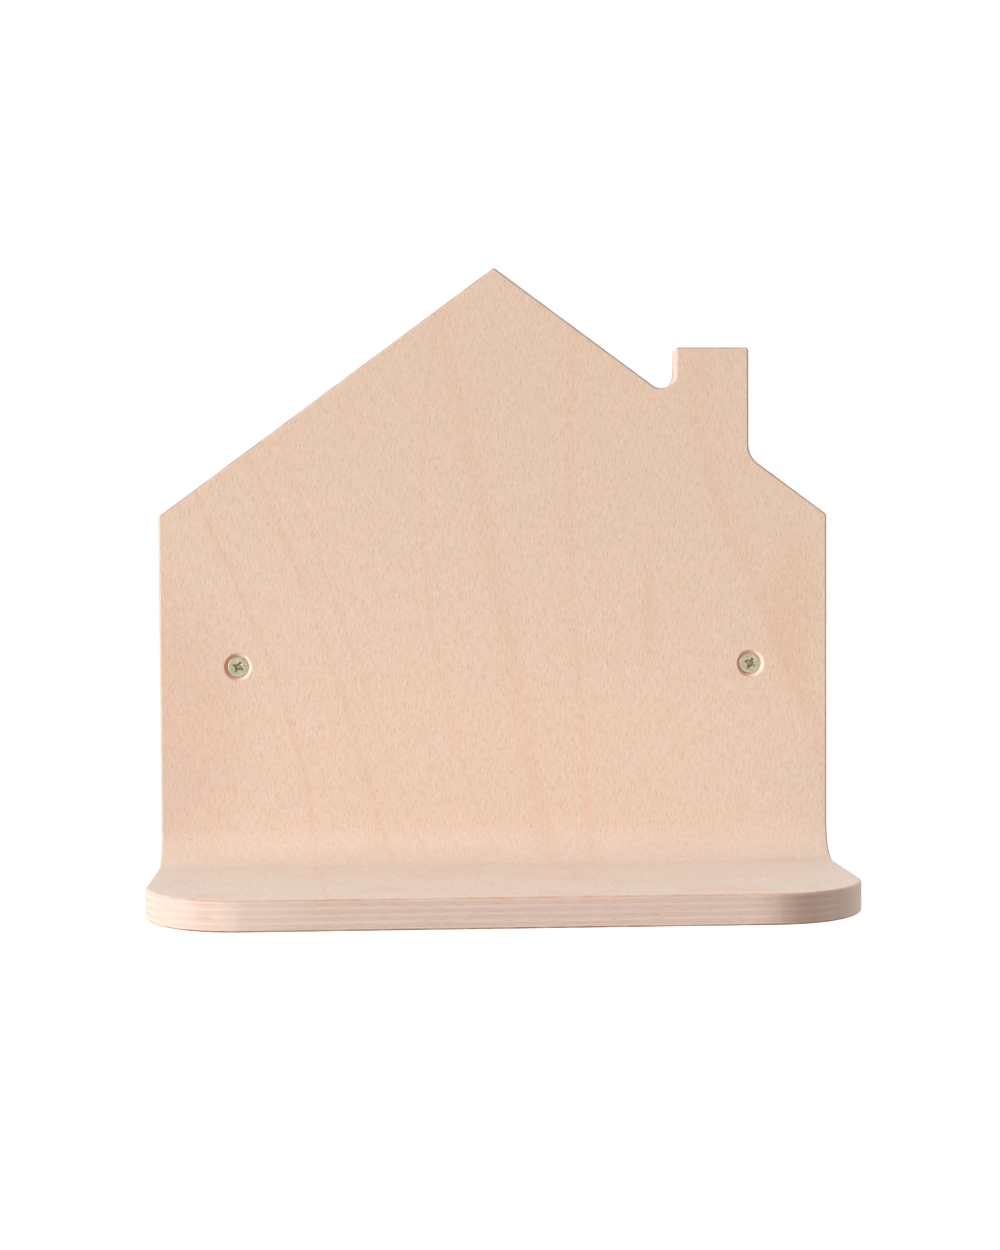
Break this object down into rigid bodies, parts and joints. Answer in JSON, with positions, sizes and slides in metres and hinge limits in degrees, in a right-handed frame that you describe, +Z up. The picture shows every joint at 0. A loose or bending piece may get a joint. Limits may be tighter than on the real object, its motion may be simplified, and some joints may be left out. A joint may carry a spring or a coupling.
{
  "type": "wall shelf",
  "caption": "House-shaped wall shelf of moulded beech plywood: the back curves forward into a shallow ledge with rounded corners, and countersunk screws hold it to the wall.",
  "frame": {"origin": "on the wall plane (the rear face of the back), midway between the axes of the two screws", "axes": "+X to the right for someone who faces the shelf, +Y into the wall along the screws, +Z up"},
  "size_m": [0.25, 0.1301, 0.2317],
  "materials": {
    "beech_long_grain": "pale steamed beech, finely sanded, grain running up the back and forward along the shelf, matt",
    "beech_cross_grain": "beech veneer with its grain running from side to side, seen only as bands along the sanded edge",
    "zinc_screw": "steel, zinc plated and yellow passivated, satin"
  },
  "bodies": {
    "root": {"front_face_veneer": "beech_long_grain", "front_cross_veneer": "beech_cross_grain", "front_long_veneer": "beech_long_grain", "front_inner_cross_veneer": "beech_cross_grain", "core_veneer": "beech_long_grain", "rear_inner_cross_veneer": "beech_cross_grain", "rear_long_veneer": "beech_long_grain", "rear_cross_veneer": "beech_cross_grain", "rear_face_veneer": "beech_long_grain", "left_screw": "zinc_screw", "right_screw": "zinc_screw"}
  },
  "joints": []
}
